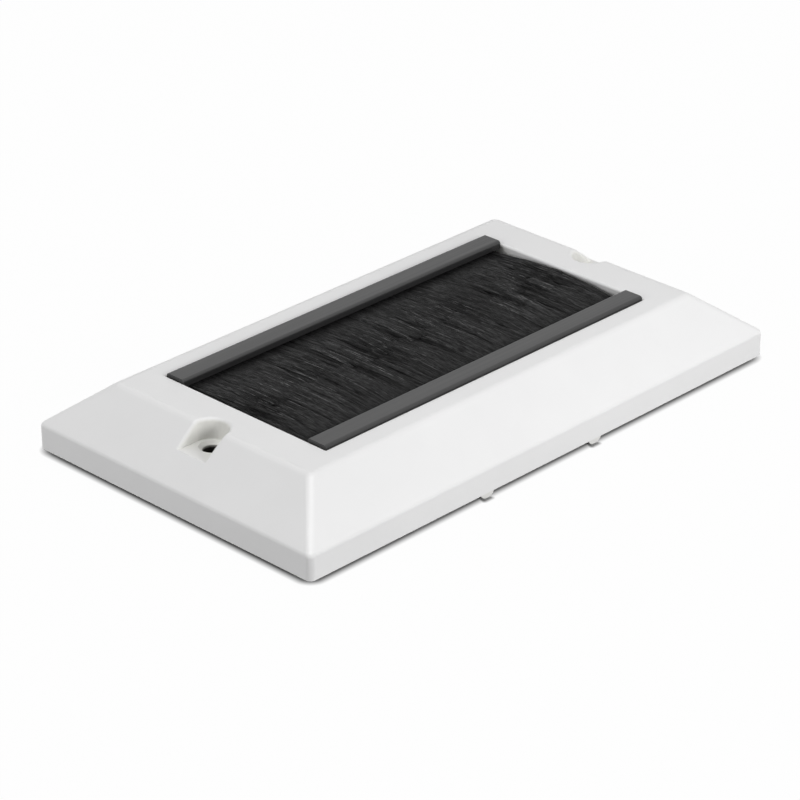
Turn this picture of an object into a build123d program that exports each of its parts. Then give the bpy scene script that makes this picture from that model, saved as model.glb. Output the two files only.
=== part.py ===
from build123d import *
import os
from math import atan2, degrees, radians, sin, tan, tau

os.makedirs("parts", exist_ok=True)

# Brush wall plate, double-gang size. Millimetres, X along the long side, +Z out of the wall.
# The origin is the centre of the back plane, which lies on the wall or on a surface box.

# Plate outline
plate_length = 146.0
plate_width = 86.0
plate_height = 15.8
rim_height = 5.9
bevel_inset = 12.3
rim_corner_radius = 1.4
flat_corner_radius = 1.6
rim_edge_radius = 1.1
flat_edge_radius = 2.6
wall = 2.5
cavity_corner_radius = 0.8

# Opening for the cables, and the frame below it that carries the brush strips
opening_length = 101.5
opening_width = 50.2
opening_edge_radius = 0.65
frame_wall = 2.0
shelf_depth = 5.2
shelf_thickness = 2.0
shelf_width = 3.8

# Fixing screws: countersunk holes in pockets that run out through the end bevels
fixing_centres = 120.6
fixing_hole_radius = 2.2
countersink_radius = 3.0
countersink_angle = 90
pocket_radius = 3.95
pocket_shift = 0.5
pocket_clearance = 1.2
pocket_depth = 4.7
pocket_draft = 4.0
pocket_edge_radius = 0.9
pocket_wall = 1.8
boss_radius = 4.2

# Stiffening ribs, and the lugs that locate the plate in a surface box
rib_thickness = 1.6
rib_setback = 1.5
rib_spacing = 34.0
lug_spacing = 34.8
lug_width = 4.2
lug_thickness = 1.8
lug_reach = 3.1
lug_root = 6.0
lug_corner_radius = 1.7

# Brush strips: a grooved holder, and bristles folded over a core wire
seat_clearance = 0.1
holder_width = 5.5
holder_rise = 0.75
holder_edge_radius = 0.7
groove_drop = 2.3
groove_height = 3.2
groove_depth = 2.8
mouth_height = 2.4
mouth_depth = 1.2
bristle_clearance = 0.05
bristle_end_gap = 0.5
bristle_overlap = 5.0
bristle_crown = 0.75
bristle_crown_reach = 9.0
bristle_tip_height = 1.5
tuft_pitch = 1.2
tuft_root = 2.0
tuft_tip_width = 0.3
tuft_lean = 0.35
tuft_lean_wave = 23.0
core_wire_radius = 0.5
core_wire_clearance = 0.05

# Levels and half sizes that follow from the sizes above
flat_length = plate_length - 2 * bevel_inset
flat_width = plate_width - 2 * bevel_inset
bevel_angle = degrees(atan2(bevel_inset, plate_height - rim_height))
shelf_top = plate_height - shelf_depth
shelf_bottom = shelf_top - shelf_thickness
pocket_floor = plate_height - pocket_depth

# A pocket lies a little outside its hole, and farther out where a long opening needs the room.
pocket_reach = pocket_radius + pocket_depth * tan(radians(pocket_draft)) + pocket_edge_radius
pocket_room = opening_length / 2 + pocket_clearance + pocket_reach
pocket_place = max(fixing_centres / 2 + pocket_shift, pocket_room)
pocket_run = plate_length - 2 * pocket_place

# The rounding of the opening's edges takes no more than half of the flat that is left round it.
flat_edge_setback = flat_edge_radius * tan(radians((90 - bevel_angle) / 2))
end_land = (flat_length - opening_length) / 2 - flat_edge_setback
side_land = (flat_width - opening_width) / 2 - flat_edge_setback
opening_rounding = min(opening_edge_radius, end_land / 2, side_land / 2)

# The cavity keeps the wall's thickness square to each face, so its corners shift by these amounts.
cavity_rim_height = rim_height - wall * tan(radians(bevel_angle / 2))
cavity_flat_shift = wall * tan(radians((90 - bevel_angle) / 2))
cavity_height = plate_height - wall
cavity_length = plate_length - 2 * wall
cavity_width = plate_width - 2 * wall
cavity_flat_length = flat_length - 2 * cavity_flat_shift
cavity_flat_width = flat_width - 2 * cavity_flat_shift


# Hollow: the space behind the moulding, less everything that stands in it
with BuildPart() as hollow:
    with BuildSketch():
        RectangleRounded(cavity_length, cavity_width, cavity_corner_radius)
    extrude(amount=cavity_rim_height)
    with BuildSketch(Plane.XY.offset(cavity_rim_height)):
        RectangleRounded(cavity_length, cavity_width, cavity_corner_radius)
    with BuildSketch(Plane.XY.offset(cavity_height)):
        RectangleRounded(cavity_flat_length, cavity_flat_width, cavity_corner_radius)
    loft(ruled=True)

    # Frame round the opening
    with BuildSketch(Plane.XY.offset(shelf_bottom)):
        Rectangle(opening_length + 2 * frame_wall, opening_width + 2 * frame_wall)
    extrude(amount=plate_height, mode=Mode.SUBTRACT)

    # Housings of the screw pockets, and the bosses below them that reach the back plane
    with BuildSketch(Plane.XY.offset(pocket_floor - pocket_wall)):
        with GridLocations(2 * pocket_place, 0, 2, 1):
            Circle(pocket_radius + pocket_wall)
        with GridLocations(plate_length, 0, 2, 1):
            Rectangle(pocket_run, 2 * (pocket_radius + pocket_wall))
    extrude(amount=plate_height, mode=Mode.SUBTRACT)
    with BuildSketch():
        with GridLocations(fixing_centres, 0, 2, 1):
            Circle(boss_radius)
    extrude(amount=plate_height, mode=Mode.SUBTRACT)

    # Ribs from the frame to the long walls, and along the middle line past the bosses
    with BuildSketch(Plane.XY.offset(rib_setback)):
        with GridLocations(rib_spacing, 0, 3, 1):
            Rectangle(rib_thickness, plate_width)
        Rectangle(plate_length, rib_thickness)
        Rectangle(opening_length + frame_wall, opening_width + frame_wall, mode=Mode.SUBTRACT)
    extrude(amount=plate_height, mode=Mode.SUBTRACT)


# Plate: bevelled moulding with the opening, screw pockets and locating lugs
with BuildPart() as plate:
    with BuildSketch():
        RectangleRounded(plate_length, plate_width, rim_corner_radius)
    extrude(amount=rim_height)
    with BuildSketch(Plane.XY.offset(rim_height)):
        RectangleRounded(plate_length, plate_width, rim_corner_radius)
    with BuildSketch(Plane.XY.offset(plate_height)):
        RectangleRounded(flat_length, flat_width, flat_corner_radius)
    loft(ruled=True)
    flat_edges = plate.faces().sort_by(Axis.Z)[-1].edges()
    fillet(flat_edges, radius=flat_edge_radius)
    rim_edges = plate.edges().filter_by_position(Axis.Z, rim_height, rim_height)
    fillet(rim_edges, radius=rim_edge_radius)

    # Pockets with a round inner end, open to the end bevels
    with BuildSketch(Plane.XY.offset(pocket_floor)):
        with GridLocations(2 * pocket_place, 0, 2, 1):
            Circle(pocket_radius)
        with GridLocations(plate_length, 0, 2, 1):
            Rectangle(pocket_run, 2 * pocket_radius)
    extrude(amount=2 * pocket_depth, taper=-pocket_draft, mode=Mode.SUBTRACT)
    lowest_edge = pocket_floor + pocket_edge_radius
    pocket_edges = plate.edges(Select.NEW).filter_by_position(Axis.Z, lowest_edge, plate_height)
    fillet(pocket_edges, radius=pocket_edge_radius)

    add(hollow.part, mode=Mode.SUBTRACT)

    # The opening is wide above the shelves, with rounded edges, and narrow between them
    with BuildSketch(Plane.XY.offset(shelf_top)):
        Rectangle(opening_length, opening_width)
    extrude(amount=plate_height, mode=Mode.SUBTRACT)
    opening_edges = plate.edges(Select.NEW).filter_by_position(Axis.Z, plate_height, plate_height)
    fillet(opening_edges, radius=opening_rounding)
    with BuildSketch():
        Rectangle(opening_length, opening_width - 2 * shelf_width)
    extrude(amount=plate_height, mode=Mode.SUBTRACT)

    with Locations(Plane.XY.offset(pocket_floor)):
        with GridLocations(fixing_centres, 0, 2, 1):
            CounterSinkHole(
                radius=fixing_hole_radius,
                counter_sink_radius=countersink_radius,
                depth=pocket_floor,
                counter_sink_angle=countersink_angle,
            )

    # Lugs along the inside of the long walls, with rounded tips
    for lug_outer in (cavity_width / 2, lug_thickness - cavity_width / 2):
        with BuildSketch(Plane.XZ.offset(-lug_outer)) as lugs:
            with GridLocations(lug_spacing, 0, 2, 1):
                with Locations((0, (lug_root - lug_reach) / 2)):
                    Rectangle(lug_width, lug_root + lug_reach)
            fillet(lugs.vertices().group_by(Axis.Z)[0], radius=lug_corner_radius)
        extrude(amount=lug_thickness)

plate.part.label = "plate"
export_step(plate.part, "parts/plate.step")


# Brush strip sizes that follow from the opening. Distances across are from the middle line outwards.
holder_length = opening_length - 2 * seat_clearance
holder_outer = opening_width / 2 - seat_clearance
holder_inner = holder_outer - holder_width
holder_top = plate_height + holder_rise
groove_middle = plate_height - groove_drop
groove_front = holder_inner + mouth_depth
core_wire_place = groove_front + groove_depth / 2

bristle_length = holder_length - 2 * bristle_end_gap
bead_half = groove_height / 2 - bristle_clearance
bead_front = groove_front + bristle_clearance
bead_back = groove_front + groove_depth - bristle_clearance
neck_half = mouth_height / 2 - bristle_clearance
neck_top = groove_middle + neck_half
neck_low = groove_middle - neck_half
crown_top = neck_top + bristle_crown
crown_low = crown_top - bristle_tip_height
tip_reach = bristle_overlap / 2
tuft_count = int(bristle_length // tuft_pitch) - 1
tuft_start = holder_inner - tuft_root


def comb_outline(side):
    """Plan of one bristle row: a straight root, then tufts that narrow to their tips and lean a little.

    The two rows are shifted along by half a pitch, so that their tips pass between each other.
    """
    end = bristle_length / 2
    first_tuft = side * tuft_pitch / 4 - (tuft_count - 1) * tuft_pitch / 2
    points = [(-end, side * bead_back), (-end, side * tuft_start)]
    points.append((first_tuft - tuft_pitch / 2, side * tuft_start))
    for tuft in range(tuft_count):
        middle = first_tuft + tuft * tuft_pitch
        tip = middle + tuft_lean * sin(tau * middle / tuft_lean_wave)
        points.append((tip - tuft_tip_width / 2, -side * tip_reach))
        points.append((tip + tuft_tip_width / 2, -side * tip_reach))
        points.append((middle + tuft_pitch / 2, side * tuft_start))
    points.append((end, side * tuft_start))
    points.append((end, side * bead_back))
    return points


def row_section(side):
    """Side view of one bristle row: bead in the groove, neck in its mouth, then the crowned sheet."""
    outline = [
        (bead_back, groove_middle - bead_half),
        (bead_back, groove_middle + bead_half),
        (bead_front, groove_middle + bead_half),
        (bead_front, neck_top),
        (holder_inner, neck_top),
        (bristle_crown_reach, crown_top),
        (-tip_reach, crown_top),
        (-tip_reach, crown_low),
        (bristle_crown_reach, crown_low),
        (holder_inner, neck_low),
        (bead_front, neck_low),
        (bead_front, groove_middle - bead_half),
    ]
    return [(side * across, level) for across, level in outline]


for place, side in (("rear", 1), ("front", -1)):
    # Holder: a grooved strip that sits on the shelf and stands a little proud of the flat
    with BuildPart() as holder:
        with BuildSketch(Plane.YZ.offset(-holder_length / 2)) as section:
            with Locations((side * (holder_outer + holder_inner) / 2, (holder_top + shelf_top) / 2)):
                Rectangle(holder_width, holder_top - shelf_top)
            fillet(section.vertices().group_by(Axis.Z)[-1], radius=holder_edge_radius)
            with Locations((side * (holder_inner + mouth_depth / 2), groove_middle)):
                Rectangle(mouth_depth, mouth_height, mode=Mode.SUBTRACT)
            with Locations((side * core_wire_place, groove_middle)):
                Rectangle(groove_depth, groove_height, mode=Mode.SUBTRACT)
        extrude(amount=holder_length)
    holder.part.label = f"{place}_brush_holder"
    export_step(holder.part, f"parts/{place}_brush_holder.step")

    # Bristles: the comb plan cut to the row's side view, bored for the core wire
    with BuildPart() as bristles:
        with BuildSketch(Plane.XY.offset(shelf_top)):
            with BuildLine():
                Polyline(*comb_outline(side), close=True)
            make_face()
        extrude(amount=holder_top - shelf_top)
        with BuildSketch(Plane.YZ.offset(-bristle_length / 2)):
            with BuildLine():
                Polyline(*row_section(side), close=True)
            make_face()
        extrude(amount=bristle_length, mode=Mode.INTERSECT)
        with BuildSketch(Plane.YZ.offset(-bristle_length / 2)):
            with Locations((side * core_wire_place, groove_middle)):
                Circle(core_wire_radius + core_wire_clearance)
        extrude(amount=bristle_length, mode=Mode.SUBTRACT)
    bristles.part.label = f"{place}_bristles"
    export_step(bristles.part, f"parts/{place}_bristles.step")

    # Core wire: a straight wire as long as the bristle row
    with BuildPart() as core_wire:
        with BuildSketch(Plane.YZ.offset(-bristle_length / 2)):
            with Locations((side * core_wire_place, groove_middle)):
                Circle(core_wire_radius)
        extrude(amount=bristle_length)
    core_wire.part.label = f"{place}_core_wire"
    export_step(core_wire.part, f"parts/{place}_core_wire.step")
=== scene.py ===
import math
from typing import NamedTuple

import bpy
import numpy as np
from mathutils import Matrix, Vector

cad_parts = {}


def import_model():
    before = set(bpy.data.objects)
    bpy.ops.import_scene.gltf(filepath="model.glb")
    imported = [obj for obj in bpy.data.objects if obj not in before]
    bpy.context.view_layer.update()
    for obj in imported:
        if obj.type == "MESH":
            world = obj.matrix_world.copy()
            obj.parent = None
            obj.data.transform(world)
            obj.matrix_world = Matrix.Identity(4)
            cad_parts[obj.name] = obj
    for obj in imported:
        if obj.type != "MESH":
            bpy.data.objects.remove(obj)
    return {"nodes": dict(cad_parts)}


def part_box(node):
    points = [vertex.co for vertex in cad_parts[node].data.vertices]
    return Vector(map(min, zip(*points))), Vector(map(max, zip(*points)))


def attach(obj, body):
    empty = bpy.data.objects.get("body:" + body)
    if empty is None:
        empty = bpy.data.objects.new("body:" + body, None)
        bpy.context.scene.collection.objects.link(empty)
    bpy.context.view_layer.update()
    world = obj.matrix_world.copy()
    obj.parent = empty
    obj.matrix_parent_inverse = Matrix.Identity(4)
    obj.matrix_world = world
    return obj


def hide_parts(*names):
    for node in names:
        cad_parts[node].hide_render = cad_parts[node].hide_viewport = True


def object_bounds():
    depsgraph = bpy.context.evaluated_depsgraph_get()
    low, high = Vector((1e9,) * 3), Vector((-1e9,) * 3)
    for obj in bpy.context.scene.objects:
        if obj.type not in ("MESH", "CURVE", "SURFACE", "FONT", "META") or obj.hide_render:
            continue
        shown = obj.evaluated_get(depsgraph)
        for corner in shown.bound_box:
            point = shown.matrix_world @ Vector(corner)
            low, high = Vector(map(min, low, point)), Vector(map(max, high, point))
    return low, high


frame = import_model()
cad_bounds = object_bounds()

MM = 0.001
UNIT = (0.0, 1.0)
NOISE_RANGE = (0.3, 0.7)

# Camera, from the photograph: a long lens at the plate's near left corner
CAMERA_AZIMUTH = math.radians(-45.161)
CAMERA_ELEVATION = math.radians(27.140)
CAMERA_ROLL = math.radians(-0.557)
CAMERA_DISTANCE = 764.5 * MM
CAMERA_SIDE = -2.290 * MM
CAMERA_RISE = -0.170 * MM
CAMERA_CLIP = (0.01, 20.0)
FOCAL_PIXELS = 3374.0
IMAGE_PIXELS = 800
SENSOR_WIDTH = 36.0

# Light: each lamp's place and width in metres and its power in watts, and the one lamp that surfaces mirror
AMBIENT_STRENGTH = 0.15
LAMPS = {
    "front": ((0.070, -0.505, 0.208), 0.20, 2.03),
    "left": ((-0.871, 0.317, 0.375), 0.35, 3.80),
    "above": ((0.0, -0.035, 0.999), 0.35, 3.12),
    "back": ((0.354, 0.612, 0.707), 0.35, 0.72),
}
GLINT_LAMP = "above"
WHITE = (1.0, 1.0, 1.0, 1.0)

# Floor: grey, so that it throws little light on the plate's sides, and lifted to white where it is seen
FLOOR_SIZE = 4.0
FLOOR_COLOUR = (0.35, 0.35, 0.35, 1.0)
FLOOR_LIFT = 0.985

# Painted shadow on the floor, in which the lamps' real shadow also shows: the plate's outline, moved away
# from two lamps, and a painted spot at each front lug
SHADOW_COLOUR = (0.32, 0.32, 0.32, 1.0)
SHADOW_SHIFT = (4.05 * MM, 4.25 * MM)
SHADOW_STOP = 1.7 * MM
SHADOW_CORNER = 2.0 * MM
SHADOW_EDGE = (0.8 * MM, 2.7 * MM)
LUG_SHADOW_PLACES = ((-18.0 * MM, -40.5 * MM), (16.8 * MM, -40.5 * MM))
LUG_SHADOW_HALF = (0.9 * MM, 0.4 * MM)
LUG_SHADOW_EDGE = (0.2 * MM, 1.2 * MM)

# White plastic: tones, painted warm shade in its recesses, roughness, and grains as noise cells to the metre
WHITE_TONES = ((0.780, 0.779, 0.780, 1.0), (0.800, 0.799, 0.800, 1.0))
WHITE_DRIFT = 60.0
RECESS_SHADE_COLOUR = (0.748, 0.745, 0.715, 1.0)
RECESS_REACH = 12.0 * MM
RECESS_EDGE = (0.75, 1.0)
RECESS_SAMPLES = 16
WHITE_ROUGHNESS = (0.40, 0.50)
WHITE_PATCHES = 350.0
WHITE_WAVES = 45.0
WAVE_DEPTH = 0.05 * MM
WAVE_STRENGTH = 0.25
WHITE_GRAIN = 7000.0
GRAIN_DEPTH = 0.006 * MM
GRAIN_STRENGTH = 0.35
WHITE_IOR = 1.58

# Painted shade in the bores of the screw holes: distance from the middle, radii and levels between which the
# shade ends
BORE_SHADE_COLOUR = (0.012, 0.011, 0.009, 1.0)
BORE_PLACE = 60.3 * MM
BORE_EDGE = (2.25 * MM, 2.475 * MM)
BORE_SHADE = (9.6 * MM, 10.4 * MM)

# Dark plastic of the brush strips, drawn out along X
DARK_TONES = ((0.014, 0.014, 0.0143, 1.0), (0.020, 0.020, 0.0203, 1.0))
DARK_DRIFT = 220.0
DARK_DRIFT_STRETCH = (0.25, 1.0, 1.0)
DARK_ROUGHNESS = (0.36, 0.48)
DARK_LINES = 3000.0
DARK_LINE_STRETCH = (0.005, 1.0, 1.0)
DARK_LINE_DEPTH = 0.01 * MM
DARK_LINE_STRENGTH = 0.3
DARK_IOR = 1.60

# Bristle fibre: streaks along Y break up each strand's tone, with its painted shade and painted glints
FIBRE_TONES = ((0.003, 0.003, 0.0031, 1.0), (0.26, 0.26, 0.262, 1.0))
FIBRE_STREAKS = 3000.0
FIBRE_STRETCH = (1.0, 0.15, 1.0)
FIBRE_CONTRAST = (0.1, 1.9)
FIBRE_ROUGHNESS = (0.55, 0.40)
FIBRE_IOR = 1.5
FIBRE_SPECULAR = 0.2

# Steel of the core wires, drawn out along X
STEEL_TONES = ((0.50, 0.50, 0.50, 1.0), (0.64, 0.64, 0.63, 1.0))
STEEL_LINES = 4000.0
STEEL_STRETCH = (0.03, 1.0, 1.0)
STEEL_ROUGHNESS = (0.25, 0.42)

# Strands of one bristle row: number, thickness, and the shares of their length where they may bend
STRANDS = 7400
STRAND_SIDES = 3
STRAND_RADIUS = 0.080 * MM
TIP_RADIUS = 0.045 * MM
STRAND_SHARES = (0.22, 0.48, 0.74, 1.0)
ROW_SEEDS = {"rear": 11, "front": 23}

# Section of a row: it leaves the holder's mouth as a neck, and rises to a thinner crown
NECK_HALF = 1.1 * MM
TIP_HALF = 0.7 * MM
CROWN_REACH = 9.0 * MM
MOUTH_DEPTH = 1.2 * MM

# Layers of a row: depth of its skins, and the shares of the strands in the upper skin and in both
SKIN_DEPTH = 0.25
UPPER_SKIN = 0.55
BOTH_SKINS = 0.80

# Clumps that strands gather in, and what a strand does by itself: leans are sideways run to length
CLUMP_WIDTHS = (0.6 * MM, 2.6 * MM)
CLUMP_MIX = 0.25 * MM
CLUMP_GATHER = (0.05, 0.45)
CLUMP_LEAN = 0.028
STRAND_LEAN = 0.032
ROW_WAVES = 4
ROW_LEAN = 0.02
STRAY_SHARE = 0.08
STRAY_LEAN = 0.11
TIP_SPREAD = 0.8 * MM
CLUMP_LIFT = 0.14 * MM
STRAND_LIFT = 0.06 * MM
STRAND_BOW = 0.09 * MM
BOW_PHASE = 1.5 * math.pi

# Ends of a row, left and right: how far the strands stay from them, and how far they flare out
END_MARGIN = 0.15 * MM
END_INSETS = (0.5 * MM, 1.4 * MM)
END_FLARES = (1.3 * MM, 0.4 * MM)
FLARE_WIDTH = 3.0 * MM

# Tones of the strands, painted shade at the neck and darker towards the tip, and painted glints on a few
# strands
STRAND_TONE = 0.057
STRAND_SHADE_FADE = (0.3, 1.0, 0.95, 0.68, 0.42)
CLUMP_TONE_SPREAD = 0.25
STRAND_TONE_SPREAD = 0.35
# Painted shade: strands in the lower layer are darker
LOWER_LAYER_SHADE = 0.7
GLINT_SHARE = 0.09
GLINT_TONES = (0.12, 0.7)
GLINT_FADE = (0.0, 0.15, 0.5, 0.9, 0.7)

# Partings between tufts: how many, where, and their half length, half width and depth
PARTINGS = 60
PARTING_SEED = 5
PARTING_REACH = 10.0 * MM
PARTING_HALF_LENGTHS = (1.5 * MM, 4.5 * MM)
PARTING_HALF_WIDTHS = (0.15 * MM, 0.55 * MM)
PARTING_FALL = 1.5
PARTING_DEPTH = 0.6 * MM

# Bead that the strands are folded into round their core wire: a squarish tube, a little uneven
BEAD_HALF = 1.55 * MM
BEAD_BACK = 1.35 * MM
BEAD_SECTIONS = 60
BEAD_POINTS = 20
BEAD_SQUARENESS = 4
BEAD_SIZES = (0.93, 0.99)
WIRE_ROOM = 0.55 * MM


class Row(NamedTuple):
    """Where one bristle row lies, in metres.

    side is 1 for the row whose roots are at +Y and -1 for the other. mouth is how far from the middle line
    the strands leave their holder, and tip is how far past the middle line they reach.
    """

    side: int
    start: float
    end: float
    bottom: float
    top: float
    mouth: float
    tip: float


class Strands(NamedTuple):
    """What sets the strands of a row apart: the number of clumps, and arrays with one value for each strand.

    clump is the clump that a strand belongs to, root is its place along the row, and span is its length.
    pull draws it to its clump's middle, lean is its sideways run to length, and flare spreads it at the
    row's ends. lift raises its tip, bow bends it sideways, and layer is its height in the row, -1 to 1.
    """

    clumps: int
    clump: np.ndarray
    root: np.ndarray
    pull: np.ndarray
    lean: np.ndarray
    flare: np.ndarray
    span: np.ndarray
    lift: np.ndarray
    bow: np.ndarray
    layer: np.ndarray


def camera():
    """The photograph's view as a Blender camera."""
    back = Vector((
        math.sin(CAMERA_AZIMUTH) * math.cos(CAMERA_ELEVATION),
        -math.cos(CAMERA_AZIMUTH) * math.cos(CAMERA_ELEVATION),
        math.sin(CAMERA_ELEVATION),
    ))
    level = Vector((math.cos(CAMERA_AZIMUTH), math.sin(CAMERA_AZIMUTH), 0.0))
    upright = back.cross(level)
    right = math.cos(CAMERA_ROLL) * level + math.sin(CAMERA_ROLL) * upright
    up = math.cos(CAMERA_ROLL) * upright - math.sin(CAMERA_ROLL) * level
    data = bpy.data.cameras.new("camera")
    data.sensor_width = SENSOR_WIDTH
    data.lens = FOCAL_PIXELS * SENSOR_WIDTH / IMAGE_PIXELS
    data.clip_start, data.clip_end = CAMERA_CLIP
    item = bpy.data.objects.new("camera", data)
    turn = Matrix((right, up, back)).transposed().to_4x4()
    place = right * CAMERA_SIDE + up * CAMERA_RISE + back * CAMERA_DISTANCE
    item.matrix_world = Matrix.Translation(place) @ turn
    bpy.context.scene.collection.objects.link(item)
    bpy.context.scene.camera = item


def node_tree(owner):
    """The emptied node tree of a material or world."""
    owner.use_nodes = True
    tree = owner.node_tree
    tree.nodes.clear()
    return tree


def arithmetic(tree, operation, first, second):
    """The result of one sum on two values."""
    node = tree.nodes.new("ShaderNodeMath")
    node.operation = operation
    tree.links.new(first, node.inputs[0])
    tree.links.new(second, node.inputs[1])
    return node.outputs[0]


def vector_steps(tree, vector, steps):
    """The result of several sums on a vector, each with a fixed second vector if it needs one."""
    for operation, amount in steps:
        node = tree.nodes.new("ShaderNodeVectorMath")
        node.operation = operation
        tree.links.new(vector, node.inputs[0])
        if amount is not None:
            node.inputs[1].default_value = amount
        vector = node.outputs["Vector"]
    return vector


def vector_length(tree, vector):
    """The length of a vector."""
    node = tree.nodes.new("ShaderNodeVectorMath")
    node.operation = "LENGTH"
    tree.links.new(vector, node.inputs[0])
    return node.outputs["Value"]


def to_range(tree, value, target, source=NOISE_RANGE):
    """Maps a value from the source range to the target range, and no further than its ends."""
    node = tree.nodes.new("ShaderNodeMapRange")
    node.inputs["From Min"].default_value = source[0]
    node.inputs["From Max"].default_value = source[1]
    node.inputs["To Min"].default_value = target[0]
    node.inputs["To Max"].default_value = target[1]
    tree.links.new(value, node.inputs["Value"])
    return node.outputs["Result"]


def blend_colours(tree, share, low, high):
    """A colour between low and high, each a colour or another node's output."""
    node = tree.nodes.new("ShaderNodeMix")
    node.data_type = "RGBA"
    sockets = [socket for socket in node.inputs if socket.type == "RGBA"]
    for socket, colour in zip(sockets, (low, high)):
        if isinstance(colour, tuple):
            socket.default_value = colour
        else:
            tree.links.new(colour, socket)
    tree.links.new(share, node.inputs["Factor"])
    return [socket for socket in node.outputs if socket.type == "RGBA"][0]


def mix_shaders(tree, share, first, second):
    """A shader between two others: the second where the share is 1."""
    node = tree.nodes.new("ShaderNodeMixShader")
    tree.links.new(share, node.inputs["Fac"])
    tree.links.new(first, node.inputs[1])
    tree.links.new(second, node.inputs[2])
    return node.outputs[0]


def background_share(tree):
    """A value that is 1 for rays that show the background: camera, glossy and transmission rays."""
    path = tree.nodes.new("ShaderNodeLightPath")
    seen = arithmetic(tree, "MAXIMUM", path.outputs["Is Camera Ray"], path.outputs["Is Glossy Ray"])
    return arithmetic(tree, "MAXIMUM", seen, path.outputs["Is Transmission Ray"])


def white_light(tree, strength):
    """An even white background of the given strength."""
    node = tree.nodes.new("ShaderNodeBackground")
    node.inputs["Color"].default_value = WHITE
    node.inputs["Strength"].default_value = strength
    return node.outputs[0]


def world():
    """White where it is seen, and a softer white where it lights the object."""
    item = bpy.data.worlds.new("studio")
    bpy.context.scene.world = item
    tree = node_tree(item)
    light = white_light(tree, AMBIENT_STRENGTH)
    seen = white_light(tree, 1.0)
    output = tree.nodes.new("ShaderNodeOutputWorld")
    tree.links.new(mix_shaders(tree, background_share(tree), light, seen), output.inputs["Surface"])


def area_light(name, place, size, power):
    """A square soft light that faces the object."""
    data = bpy.data.lights.new(name, "AREA")
    data.shape = "SQUARE"
    data.size = size
    data.energy = power
    item = bpy.data.objects.new(name, data)
    item.location = place
    item.rotation_euler = (-Vector(place)).to_track_quat("-Z", "Y").to_euler()
    item.visible_camera = False
    item.visible_glossy = name == GLINT_LAMP
    bpy.context.scene.collection.objects.link(item)


def beyond_box(tree, middle, half):
    """How far a floor point lies outside a box on the floor, in metres, and 0 inside it."""
    place = tree.nodes.new("ShaderNodeTexCoord").outputs["Object"]
    steps = (
        ("MULTIPLY", (1.0, 1.0, 0.0)),
        ("SUBTRACT", (*middle, 0.0)),
        ("ABSOLUTE", None),
        ("SUBTRACT", (*half, 0.0)),
        ("MAXIMUM", (0.0, 0.0, 0.0)),
    )
    return vector_length(tree, vector_steps(tree, place, steps))


def outside_shadow(tree):
    """A value that is 0 in the painted shadow of the plate and of its front lugs, and 1 on the open floor.
    """
    half_length, half_width = cad_bounds[1][0], cad_bounds[1][1]
    middle = [shift - SHADOW_STOP / 2 for shift in SHADOW_SHIFT]
    inset = SHADOW_STOP / 2 + SHADOW_CORNER
    distance = beyond_box(tree, middle, (half_length - inset, half_width - inset))
    edge = [SHADOW_CORNER + reach for reach in SHADOW_EDGE]
    lit = to_range(tree, distance, UNIT, source=edge)
    for lug in LUG_SHADOW_PLACES:
        beside_lug = to_range(tree, beyond_box(tree, lug, LUG_SHADOW_HALF), UNIT, source=LUG_SHADOW_EDGE)
        lit = arithmetic(tree, "MINIMUM", lit, beside_lug)
    return lit


def floor_material():
    """Matt grey that is shown almost white, apart from the plate's painted shadow, in which its real shadow
    shows.
    """
    material = bpy.data.materials.new("floor")
    tree = node_tree(material)
    lit = outside_shadow(tree)
    matt = tree.nodes.new("ShaderNodeBsdfDiffuse")
    # Painted shadow: inside the mask the floor is darker grey and not lifted to white
    tree.links.new(blend_colours(tree, lit, SHADOW_COLOUR, FLOOR_COLOUR), matt.inputs["Color"])
    glow = tree.nodes.new("ShaderNodeEmission")
    lifted = to_range(tree, lit, (0.0, FLOOR_LIFT), source=UNIT)
    share = arithmetic(tree, "MULTIPLY", background_share(tree), lifted)
    output = tree.nodes.new("ShaderNodeOutputMaterial")
    tree.links.new(mix_shaders(tree, share, matt.outputs[0], glow.outputs[0]), output.inputs["Surface"])
    return material


def floor():
    """A plain floor at the lowest point of the plate."""
    half = FLOOR_SIZE / 2
    level = cad_bounds[0][2]
    mesh = bpy.data.meshes.new("floor")
    corners = [(-half, -half, level), (half, -half, level), (half, half, level), (-half, half, level)]
    mesh.from_pydata(corners, [], [(0, 1, 2, 3)])
    mesh.materials.append(floor_material())
    item = bpy.data.objects.new("floor", mesh)
    bpy.context.scene.collection.objects.link(item)


def stretched_noise(tree, scale, stretch=(1.0, 1.0, 1.0), detail=3.0):
    """Noise in the part's own frame, drawn out along the axes whose stretch is small."""
    place = tree.nodes.new("ShaderNodeTexCoord")
    mapping = tree.nodes.new("ShaderNodeMapping")
    mapping.inputs["Scale"].default_value = stretch
    tree.links.new(place.outputs["Object"], mapping.inputs["Vector"])
    noise = tree.nodes.new("ShaderNodeTexNoise")
    noise.inputs["Scale"].default_value = scale
    noise.inputs["Detail"].default_value = detail
    tree.links.new(mapping.outputs["Vector"], noise.inputs["Vector"])
    return noise.outputs["Fac"]


def bump(tree, height, depth, strength, under=None):
    """A bump of the given depth in metres, on top of another bump if there is one."""
    node = tree.nodes.new("ShaderNodeBump")
    node.inputs["Strength"].default_value = strength
    node.inputs["Distance"].default_value = depth
    tree.links.new(height, node.inputs["Height"])
    if under is not None:
        tree.links.new(under, node.inputs["Normal"])
    return node.outputs["Normal"]


def surface(name):
    """A new material with one Principled shader."""
    material = bpy.data.materials.new(name)
    tree = node_tree(material)
    shader = tree.nodes.new("ShaderNodeBsdfPrincipled")
    output = tree.nodes.new("ShaderNodeOutputMaterial")
    tree.links.new(shader.outputs["BSDF"], output.inputs["Surface"])
    return material, tree, shader


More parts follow.
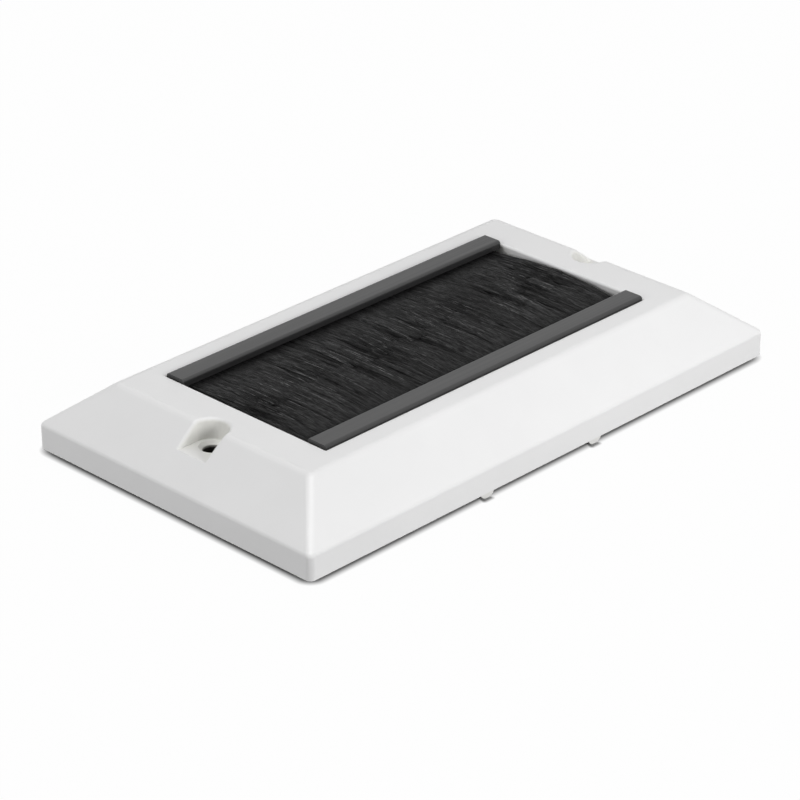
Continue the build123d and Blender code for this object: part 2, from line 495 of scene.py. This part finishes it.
def openness(tree):
    """A value that is 0 deep in a hole or corner of the same piece and 1 on its open faces, the mask of
    painted shade.
    """
    node = tree.nodes.new("ShaderNodeAmbientOcclusion")
    node.only_local = True
    node.samples = RECESS_SAMPLES
    node.inputs["Distance"].default_value = RECESS_REACH
    return to_range(tree, node.outputs["AO"], UNIT, source=RECESS_EDGE)


def bore_light(tree):
    """A value that is 0 deep in the bores of the two screw holes, where shade is painted, and 1 elsewhere on
    the plate.
    """
    place = tree.nodes.new("ShaderNodeTexCoord").outputs["Object"]
    height = tree.nodes.new("ShaderNodeSeparateXYZ")
    tree.links.new(place, height.inputs[0])
    steps = (
        ("MULTIPLY", (1.0, 1.0, 0.0)),
        ("ABSOLUTE", None),
        ("SUBTRACT", (BORE_PLACE, 0.0, 0.0)),
    )
    distance = vector_length(tree, vector_steps(tree, place, steps))
    beside = to_range(tree, distance, UNIT, source=BORE_EDGE)
    above = to_range(tree, height.outputs["Z"], UNIT, source=BORE_SHADE)
    return arithmetic(tree, "MAXIMUM", beside, above)


def white_plastic():
    """Satin white moulding: faint tone drift, painted warm shade in recesses, fine moulded grain and slight
    waviness.
    """
    material, tree, shader = surface("white_plastic")
    drift = to_range(tree, stretched_noise(tree, WHITE_DRIFT), UNIT)
    clean = blend_colours(tree, drift, *WHITE_TONES)
    # Painted shade: recesses turn darker and warmer by the plate's own ambient occlusion
    shaded = blend_colours(tree, openness(tree), RECESS_SHADE_COLOUR, clean)
    # Painted shade: the bores of the screw holes turn near black
    colour = blend_colours(tree, bore_light(tree), BORE_SHADE_COLOUR, shaded)
    tree.links.new(colour, shader.inputs["Base Color"])
    patches = stretched_noise(tree, WHITE_PATCHES)
    tree.links.new(to_range(tree, patches, WHITE_ROUGHNESS), shader.inputs["Roughness"])
    waves = bump(tree, stretched_noise(tree, WHITE_WAVES, detail=1.0), WAVE_DEPTH, WAVE_STRENGTH)
    specks = stretched_noise(tree, WHITE_GRAIN, detail=2.0)
    grain = bump(tree, specks, GRAIN_DEPTH, GRAIN_STRENGTH, under=waves)
    tree.links.new(grain, shader.inputs["Normal"])
    shader.inputs["IOR"].default_value = WHITE_IOR
    return material


def dark_plastic():
    """Dark grey extruded strip: fine lines along its length and a satin skin."""
    material, tree, shader = surface("dark_plastic")
    drift = to_range(tree, stretched_noise(tree, DARK_DRIFT, stretch=DARK_DRIFT_STRETCH), UNIT)
    tree.links.new(blend_colours(tree, drift, *DARK_TONES), shader.inputs["Base Color"])
    lines = stretched_noise(tree, DARK_LINES, stretch=DARK_LINE_STRETCH)
    tree.links.new(to_range(tree, lines, DARK_ROUGHNESS), shader.inputs["Roughness"])
    grain = bump(tree, lines, DARK_LINE_DEPTH, DARK_LINE_STRENGTH)
    tree.links.new(grain, shader.inputs["Normal"])
    shader.inputs["IOR"].default_value = DARK_IOR
    return material


def bristle():
    """Black fibre: each strand has its own tone, painted shade and painted glints, broken into short streaks
    along it.
    """
    material, tree, shader = surface("bristle")
    tone = tree.nodes.new("ShaderNodeAttribute")
    tone.attribute_name = "tone"
    streaks = stretched_noise(tree, FIBRE_STREAKS, stretch=FIBRE_STRETCH, detail=1.0)
    contrast = to_range(tree, streaks, FIBRE_CONTRAST)
    brightness = arithmetic(tree, "MULTIPLY", contrast, tone.outputs["Fac"])
    tree.links.new(blend_colours(tree, brightness, *FIBRE_TONES), shader.inputs["Base Color"])
    tree.links.new(to_range(tree, streaks, FIBRE_ROUGHNESS), shader.inputs["Roughness"])
    shader.inputs["IOR"].default_value = FIBRE_IOR
    shader.inputs["Specular IOR Level"].default_value = FIBRE_SPECULAR
    return material


def steel_wire():
    """Drawn steel wire with lines along it."""
    material, tree, shader = surface("steel_wire")
    lines = stretched_noise(tree, STEEL_LINES, stretch=STEEL_STRETCH)
    tree.links.new(blend_colours(tree, lines, *STEEL_TONES), shader.inputs["Base Color"])
    tree.links.new(to_range(tree, lines, STEEL_ROUGHNESS), shader.inputs["Roughness"])
    shader.inputs["Metallic"].default_value = 1.0
    return material


def row_place(place, side):
    """Where a row lies, from the boxes of its bristles and of its holder."""
    low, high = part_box(f"{place}_bristles")
    holder_low, holder_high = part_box(f"{place}_brush_holder")
    if side > 0:
        mouth, tip = holder_low.y, -low.y
    else:
        mouth, tip = -holder_high.y, high.y
    return Row(side, low.x + END_MARGIN, high.x - END_MARGIN, low.z, high.z, mouth, tip)


def clump_edges(rng, row):
    """Places along a row where one clump of strands ends and the next begins."""
    widths = rng.uniform(*CLUMP_WIDTHS, int((row.end - row.start) / CLUMP_WIDTHS[0]) + 1)
    edges = row.start + np.concatenate(([0.0], np.cumsum(widths)))
    return edges[edges < row.end]


def shared_and_own(rng, clumps, clump, shared_spread, own_spread):
    """Two random amounts for each strand: one that its clump shares, and one of its own."""
    shared = rng.normal(0.0, shared_spread, clumps)[clump]
    own = rng.normal(0.0, own_spread, STRANDS)
    return shared, own


def row_wave(rng, row, root):
    """A slow random lean along the row: a sum of a few sines."""
    total = np.zeros_like(root)
    for turn in range(1, ROW_WAVES + 1):
        phase = rng.uniform(0.0, math.tau)
        angle = math.tau * turn * root / (row.end - row.start) + phase
        total += np.sin(angle) * rng.normal(0.0, 1.0) / turn
    return ROW_LEAN * total


def strand_leans(rng, row, clumps, clump, root):
    """How far each strand leans sideways: with its clump and the row, or anyhow if it is a stray."""
    shared, own = shared_and_own(rng, clumps, clump, CLUMP_LEAN, STRAND_LEAN)
    lean = shared + own + row_wave(rng, row, root)
    stray = rng.uniform(0.0, 1.0, STRANDS) < STRAY_SHARE
    return np.where(stray, rng.normal(0.0, STRAY_LEAN, STRANDS), lean)


def end_flare(row, root):
    """How far the strands near the ends of a row spread outwards."""
    flare = END_FLARES[1] * np.exp((root - row.end) / FLARE_WIDTH)
    return flare - END_FLARES[0] * np.exp((row.start - root) / FLARE_WIDTH)


def strand_layers(rng):
    """Height of each strand within its row, from -1 to 1, most of them near the upper and lower skins."""
    skin = np.abs(rng.normal(0.0, SKIN_DEPTH, STRANDS))
    inner = rng.uniform(-1.0, 1.0, STRANDS)
    chance = rng.uniform(0.0, 1.0, STRANDS)
    layer = np.select([chance < UPPER_SKIN, chance < BOTH_SKINS], [1.0 - skin, skin - 1.0], inner)
    return np.clip(layer, -1.0, 1.0)


def draw_strands(rng, row):
    """Draws the strands of one row at random."""
    edges = clump_edges(rng, row)
    clumps = len(edges)
    middles = (edges + np.append(edges[1:], row.end)) / 2
    root = rng.uniform(row.start + END_INSETS[0], row.end - END_INSETS[1], STRANDS)
    clump = np.searchsorted(edges, root + rng.normal(0.0, CLUMP_MIX, STRANDS)) - 1
    clump = np.clip(clump, 0, clumps - 1)
    pull = rng.uniform(*CLUMP_GATHER, clumps)[clump] * (middles[clump] - root)
    lean = strand_leans(rng, row, clumps, clump, root)
    clump_short, own_short = shared_and_own(rng, clumps, clump, TIP_SPREAD, TIP_SPREAD)
    span = row.mouth + row.tip - (np.abs(clump_short) + np.abs(own_short))
    clump_lift, own_lift = shared_and_own(rng, clumps, clump, CLUMP_LIFT, STRAND_LIFT)
    lift = clump_lift + own_lift
    bow = rng.normal(0.0, STRAND_BOW, STRANDS)
    layer = strand_layers(rng)
    return Strands(clumps, clump, root, pull, lean, end_flare(row, root), span, lift, bow, layer)


def open_partings(paths, row):
    """Pushes strands aside and down at the partings, which are the same for both rows."""
    rng = np.random.default_rng(PARTING_SEED)
    middle_x = rng.uniform(row.start, row.end, PARTINGS)
    middle_y = rng.uniform(-PARTING_REACH, PARTING_REACH, PARTINGS)
    size = rng.uniform(0.0, 1.0, PARTINGS) ** 2
    half_lengths = np.interp(size, UNIT, PARTING_HALF_LENGTHS)
    half_widths = np.interp(size, UNIT, PARTING_HALF_WIDTHS)
    for x, y, half_length, half_width in zip(middle_x, middle_y, half_lengths, half_widths):
        aside = paths[:, :, 0] - x
        along = (paths[:, :, 1] - y) / half_length
        near = np.exp(-along ** 2) * np.exp(-np.abs(aside) / (PARTING_FALL * half_width))
        paths[:, :, 0] += np.sign(aside) * half_width * near
        paths[:, :, 2] -= PARTING_DEPTH * near


def strand_paths(row, strands):
    """Centre lines of the strands, neck to tip, as an array of strands by points by xyz."""
    middle = row.bottom + BEAD_HALF
    crown = row.top - TIP_HALF
    paths = np.zeros((STRANDS, 1 + len(STRAND_SHARES), 3))
    paths[:, 0, 0] = strands.root
    paths[:, 0, 1] = row.side * (row.mouth + MOUTH_DEPTH)
    paths[:, 0, 2] = middle + strands.layer * (NECK_HALF - STRAND_RADIUS)
    for index, share in enumerate(STRAND_SHARES, start=1):
        run = strands.span * share
        rise = np.clip(run / (row.mouth - CROWN_REACH), 0.0, 1.0)
        half = NECK_HALF + (TIP_HALF - NECK_HALF) * rise - STRAND_RADIUS
        paths[:, index, 0] = strands.root + strands.pull * share + strands.lean * run
        paths[:, index, 0] += strands.bow * math.sin(BOW_PHASE * share) + strands.flare * share
        paths[:, index, 1] = row.side * (row.mouth - run)
        paths[:, index, 2] = middle + (crown - middle) * rise + strands.layer * half + strands.lift * share
    open_partings(paths, row)
    paths[:, :, 0] = np.clip(paths[:, :, 0], row.start, row.end)
    paths[:, :, 2] = np.clip(paths[:, :, 2], row.bottom + STRAND_RADIUS, row.top - STRAND_RADIUS)
    return paths


def strand_tones(rng, strands):
    """Brightness of each strand at each of its points: a random tone, painted shade at the neck and in the
    lower layer, darker towards the tip, and painted glints on a few strands.
    """
    shared, own = shared_and_own(
        rng, strands.clumps, strands.clump, CLUMP_TONE_SPREAD, STRAND_TONE_SPREAD)
    tone = STRAND_TONE * (1.0 + shared + own)
    # Painted shade: strands in the lower layer are darker
    tone *= np.where(strands.layer > 0.0, 1.0, LOWER_LAYER_SHADE)
    # Painted glints: a few strands are much brighter along their outer part
    glints = rng.uniform(0.0, 1.0, STRANDS) < GLINT_SHARE
    glint = np.where(glints, rng.uniform(*GLINT_TONES, STRANDS), 0.0)
    tones = tone[:, None] * np.array(STRAND_SHADE_FADE) + glint[:, None] * np.array(GLINT_FADE)
    return np.clip(tones, 0.0, 1.0)


def strand_tubes(rng, paths):
    """Corners and faces of closed, tapered tubes along the paths."""
    count, steps, _ = paths.shape
    taper = np.linspace(0.0, 1.0, steps) ** 2
    radius = STRAND_RADIUS + (TIP_RADIUS - STRAND_RADIUS) * taper
    angle = rng.uniform(0.0, math.tau, (count, 1, 1)) + np.arange(STRAND_SIDES) * math.tau / STRAND_SIDES
    ring = np.zeros((count, steps, STRAND_SIDES, 3))
    ring[..., 0] = paths[:, :, None, 0] + radius[None, :, None] * np.cos(angle)
    ring[..., 1] = paths[:, :, None, 1]
    ring[..., 2] = paths[:, :, None, 2] + radius[None, :, None] * np.sin(angle)

    first = np.arange(count)[:, None] * steps * STRAND_SIDES
    corner = np.arange(STRAND_SIDES)
    here = first[:, :, None] + np.arange(steps - 1)[None, :, None] * STRAND_SIDES + corner
    beside = here - corner + (corner + 1) % STRAND_SIDES
    sides = np.stack([here, beside, beside + STRAND_SIDES, here + STRAND_SIDES], axis=-1).reshape(-1, 4)
    root_ends = first + corner[::-1]
    tip_ends = first + (steps - 1) * STRAND_SIDES + corner
    return ring.reshape(-1, 3), sides.tolist() + root_ends.tolist() + tip_ends.tolist()


def bead_corners(rng, row, wire_y, wire_z):
    """Corners of the bead: for each section, a ring outside and a ring round the core wire."""
    turns = np.arange(BEAD_POINTS) * math.tau / BEAD_POINTS
    across, up = np.cos(turns), np.sin(turns)
    spread = np.abs(across) ** BEAD_SQUARENESS + np.abs(up) ** BEAD_SQUARENESS
    reach = 1.0 / spread ** (1 / BEAD_SQUARENESS)
    rings = []
    for x in np.linspace(row.start, row.end, BEAD_SECTIONS):
        size = rng.uniform(*BEAD_SIZES)
        level_x = np.full(BEAD_POINTS, x)
        outer_y = wire_y + size * BEAD_BACK * reach * across
        outer_z = wire_z + size * BEAD_HALF * reach * up
        rings.append(np.column_stack([level_x, outer_y, outer_z]))
        rings.append(np.column_stack([level_x, wire_y + WIRE_ROOM * across, wire_z + WIRE_ROOM * up]))
    return np.concatenate(rings)


def bead_faces():
    """Faces of the bead: outer and inner wall between the sections, and a flat ring at each end."""
    faces = []
    ring = 2 * BEAD_POINTS
    last = (BEAD_SECTIONS - 1) * ring
    for point in range(BEAD_POINTS):
        after = (point + 1) % BEAD_POINTS
        for here in range(0, last, ring):
            there = here + ring
            faces.append([here + point, here + after, there + after, there + point])
            inner, inner_there = here + BEAD_POINTS, there + BEAD_POINTS
            faces.append([inner + after, inner + point, inner_there + point, inner_there + after])
        faces.append([after, point, BEAD_POINTS + point, BEAD_POINTS + after])
        faces.append([last + point, last + after, last + BEAD_POINTS + after, last + BEAD_POINTS + point])
    return faces


def toned_mesh(name, corners, faces, tones):
    """A smooth mesh whose corners carry a tone."""
    mesh = bpy.data.meshes.new(name)
    mesh.from_pydata(corners.tolist(), [], faces)
    mesh.polygons.foreach_set("use_smooth", np.ones(len(faces), dtype=bool))
    values = mesh.attributes.new("tone", "FLOAT", "POINT")
    values.data.foreach_set("value", tones.astype(np.float32))
    mesh.update()
    return mesh


def bristle_row(place, side, material):
    """Fine strands that stand for one row of bristles and keep its form, with the bead at their fold."""
    rng = np.random.default_rng(ROW_SEEDS[place])
    node = f"{place}_bristles"
    row = row_place(place, side)
    wire_low, wire_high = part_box(f"{place}_core_wire")
    strands = draw_strands(rng, row)
    tones = strand_tones(rng, strands)
    corners, faces = strand_tubes(rng, strand_paths(row, strands))
    fold = bead_corners(rng, row, (wire_low.y + wire_high.y) / 2, (wire_low.z + wire_high.z) / 2)
    faces += [[corner + len(corners) for corner in face] for face in bead_faces()]
    tone = np.concatenate([np.repeat(tones, STRAND_SIDES), np.full(len(fold), STRAND_TONE)])

    mesh = toned_mesh(f"{place}_strands", np.concatenate([corners, fold]), faces, tone)
    mesh.materials.append(material)
    piece = bpy.data.objects.new(f"{place}_strands", mesh)
    bpy.context.scene.collection.objects.link(piece)
    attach(piece, "root")
    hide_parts(node)


def dress(nodes, material):
    """Gives CAD nodes a material."""
    for node in nodes:
        for slot in frame["nodes"][node].material_slots:
            slot.material = material


bpy.context.scene.view_settings.view_transform = "Standard"
camera()
world()
for lamp, (place, size, power) in LAMPS.items():
    area_light(lamp, place, size, power)
floor()
dress(["plate"], white_plastic())
dress(["rear_brush_holder", "front_brush_holder"], dark_plastic())
dress(["rear_core_wire", "front_core_wire"], steel_wire())
fibre = bristle()
bristle_row("rear", 1, fibre)
bristle_row("front", -1, fibre)
